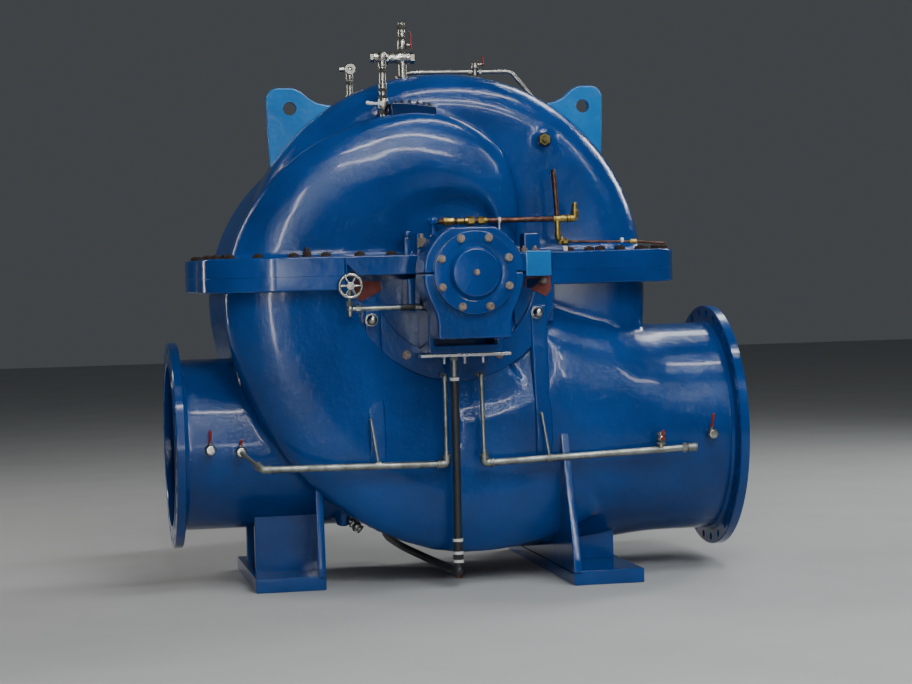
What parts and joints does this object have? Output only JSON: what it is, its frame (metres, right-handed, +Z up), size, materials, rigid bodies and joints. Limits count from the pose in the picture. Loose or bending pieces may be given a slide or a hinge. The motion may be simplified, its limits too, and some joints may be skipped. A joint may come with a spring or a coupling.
{
  "type": "double suction split case pump",
  "caption": "Large horizontal split case centrifugal pump with a spiral casing, side nozzles, bearing brackets, drains and air vents on two cast feet.",
  "frame": {"origin": "middle of the box at the height of the soles of the feet", "axes": "+X towards the suction nozzle, -X towards the discharge nozzle, +Y along the shaft towards its drive end, +Z up"},
  "size_m": [2.82, 2.292, 2.788],
  "materials": {
    "blue_paint": "glossy cobalt blue enamel over rough cast iron",
    "ground_steel": "turned and ground steel, a little dull",
    "stainless_steel": "brushed stainless sheet",
    "grey_pipe": "dull grey pipe with cream tinted zinc",
    "copper_pipe": "drawn copper tube with brass fittings, darkened",
    "bright_valve": "bright plated valve bodies",
    "brass_plug": "satin brass",
    "red_lever": "dark red coated steel",
    "black_rubber": "smooth black rubber"
  },
  "bodies": {
    "pump": {"balance_pipe": "ground_steel", "casing_drain_cock": "bright_valve", "discharge_drain_cock": "bright_valve", "discharge_flange": "blue_paint", "discharge_foot": "blue_paint", "discharge_neck": "blue_paint", "discharge_sample_cock": "bright_valve", "drain_tee": "black_rubber", "front_bearing_bracket": "blue_paint", "front_bearing_cap": "blue_paint", "front_chamber_vent": "bright_valve", "front_discharge_side_drain": "grey_pipe", "front_drain_hose": "black_rubber", "front_drip_tray": "stainless_steel", "front_end_cover": "blue_paint", "front_gland": "ground_steel", "front_oil_cup": "blue_paint", "front_seal_water_pipe": "copper_pipe", "front_stuffing_box": "blue_paint", "front_suction_side_drain": "grey_pipe", "lower_casing": "blue_paint", "lower_discharge_side_flange": "blue_paint", "lower_suction_side_flange": "blue_paint", "needle_valve": "grey_pipe", "rear_bearing_bracket": "blue_paint", "rear_bearing_cap": "blue_paint", "rear_chamber_vent": "bright_valve", "rear_discharge_side_drain": "grey_pipe", "rear_drain_hose": "black_rubber", "rear_drip_tray": "stainless_steel", "rear_end_cover": "blue_paint", "rear_gland": "ground_steel", "rear_oil_cup": "blue_paint", "rear_seal_water_pipe": "copper_pipe", "rear_stuffing_box": "blue_paint", "rear_suction_side_drain": "grey_pipe", "rear_vent_lever": "bright_valve", "shaft": "ground_steel", "suction_drain_cock": "bright_valve", "suction_flange": "blue_paint", "suction_foot": "blue_paint", "suction_gauge_cock": "bright_valve", "suction_neck": "blue_paint", "top_vent": "bright_valve", "upper_casing": "blue_paint", "upper_parting_flange": "blue_paint", "volute_plug": "brass_plug"},
    "discharge_sample_cock_lever_body": {"discharge_sample_cock_lever": "red_lever"},
    "discharge_drain_cock_lever_body": {"discharge_drain_cock_lever": "red_lever"},
    "casing_drain_cock_lever_body": {"casing_drain_cock_lever": "red_lever"},
    "suction_drain_cock_lever_body": {"suction_drain_cock_lever": "red_lever"},
    "suction_gauge_cock_lever_body": {"suction_gauge_cock_lever": "red_lever"},
    "front_vent_lever_body": {"front_vent_lever": "bright_valve"},
    "top_vent_lever_body": {"top_vent_lever": "red_lever"},
    "balance_lever_body": {"balance_lever": "red_lever"},
    "needle_valve_handwheel_body": {"needle_valve_handwheel": "bright_valve"}
  },
  "joints": [
    {"name": "discharge_sample_cock_lever_turn", "type": "hinge", "parent": "pump", "child": "discharge_sample_cock_lever_body", "pos_m": [-1.242, -0.5618, 0.758], "axis": [0, 0, 1], "range_deg": [0, 90]},
    {"name": "discharge_drain_cock_lever_turn", "type": "hinge", "parent": "pump", "child": "discharge_drain_cock_lever_body", "pos_m": [-1.096, -0.5663, 0.706], "axis": [0, 0, 1], "range_deg": [0, 90]},
    {"name": "casing_drain_cock_lever_turn", "type": "hinge", "parent": "pump", "child": "casing_drain_cock_lever_body", "pos_m": [-0.5188, -0.3774, 0.2809], "axis": [0.6525, 0, 0.7578], "range_deg": [0, 90]},
    {"name": "suction_drain_cock_lever_turn", "type": "hinge", "parent": "pump", "child": "suction_drain_cock_lever_body", "pos_m": [0.955, -0.704, 0.6818], "axis": [0, -1, 0], "range_deg": [0, 90]},
    {"name": "suction_gauge_cock_lever_turn", "type": "hinge", "parent": "pump", "child": "suction_gauge_cock_lever_body", "pos_m": [1.228, -0.6705, 0.76], "axis": [0, 0, 1], "range_deg": [0, 90]},
    {"name": "front_vent_lever_turn", "type": "hinge", "parent": "pump", "child": "front_vent_lever_body", "pos_m": [-0.358, -0.4983, 2.354], "axis": [0, 1, 0], "range_deg": [0, 90]},
    {"name": "top_vent_lever_turn", "type": "hinge", "parent": "pump", "child": "top_vent_lever_body", "pos_m": [-0.1427, -0.104, 2.675], "axis": [1, 0, 0], "range_deg": [0, 90]},
    {"name": "balance_lever_turn", "type": "hinge", "parent": "pump", "child": "balance_lever_body", "pos_m": [0.2403, -0.04, 2.58], "axis": [1, 0, 0], "range_deg": [0, 90]},
    {"name": "needle_valve_handwheel_turn", "type": "hinge", "parent": "pump", "child": "needle_valve_handwheel_body", "pos_m": [-0.571, -0.766, 1.47], "axis": [0, 1, 0], "range_deg": [0, 720]}
  ]
}
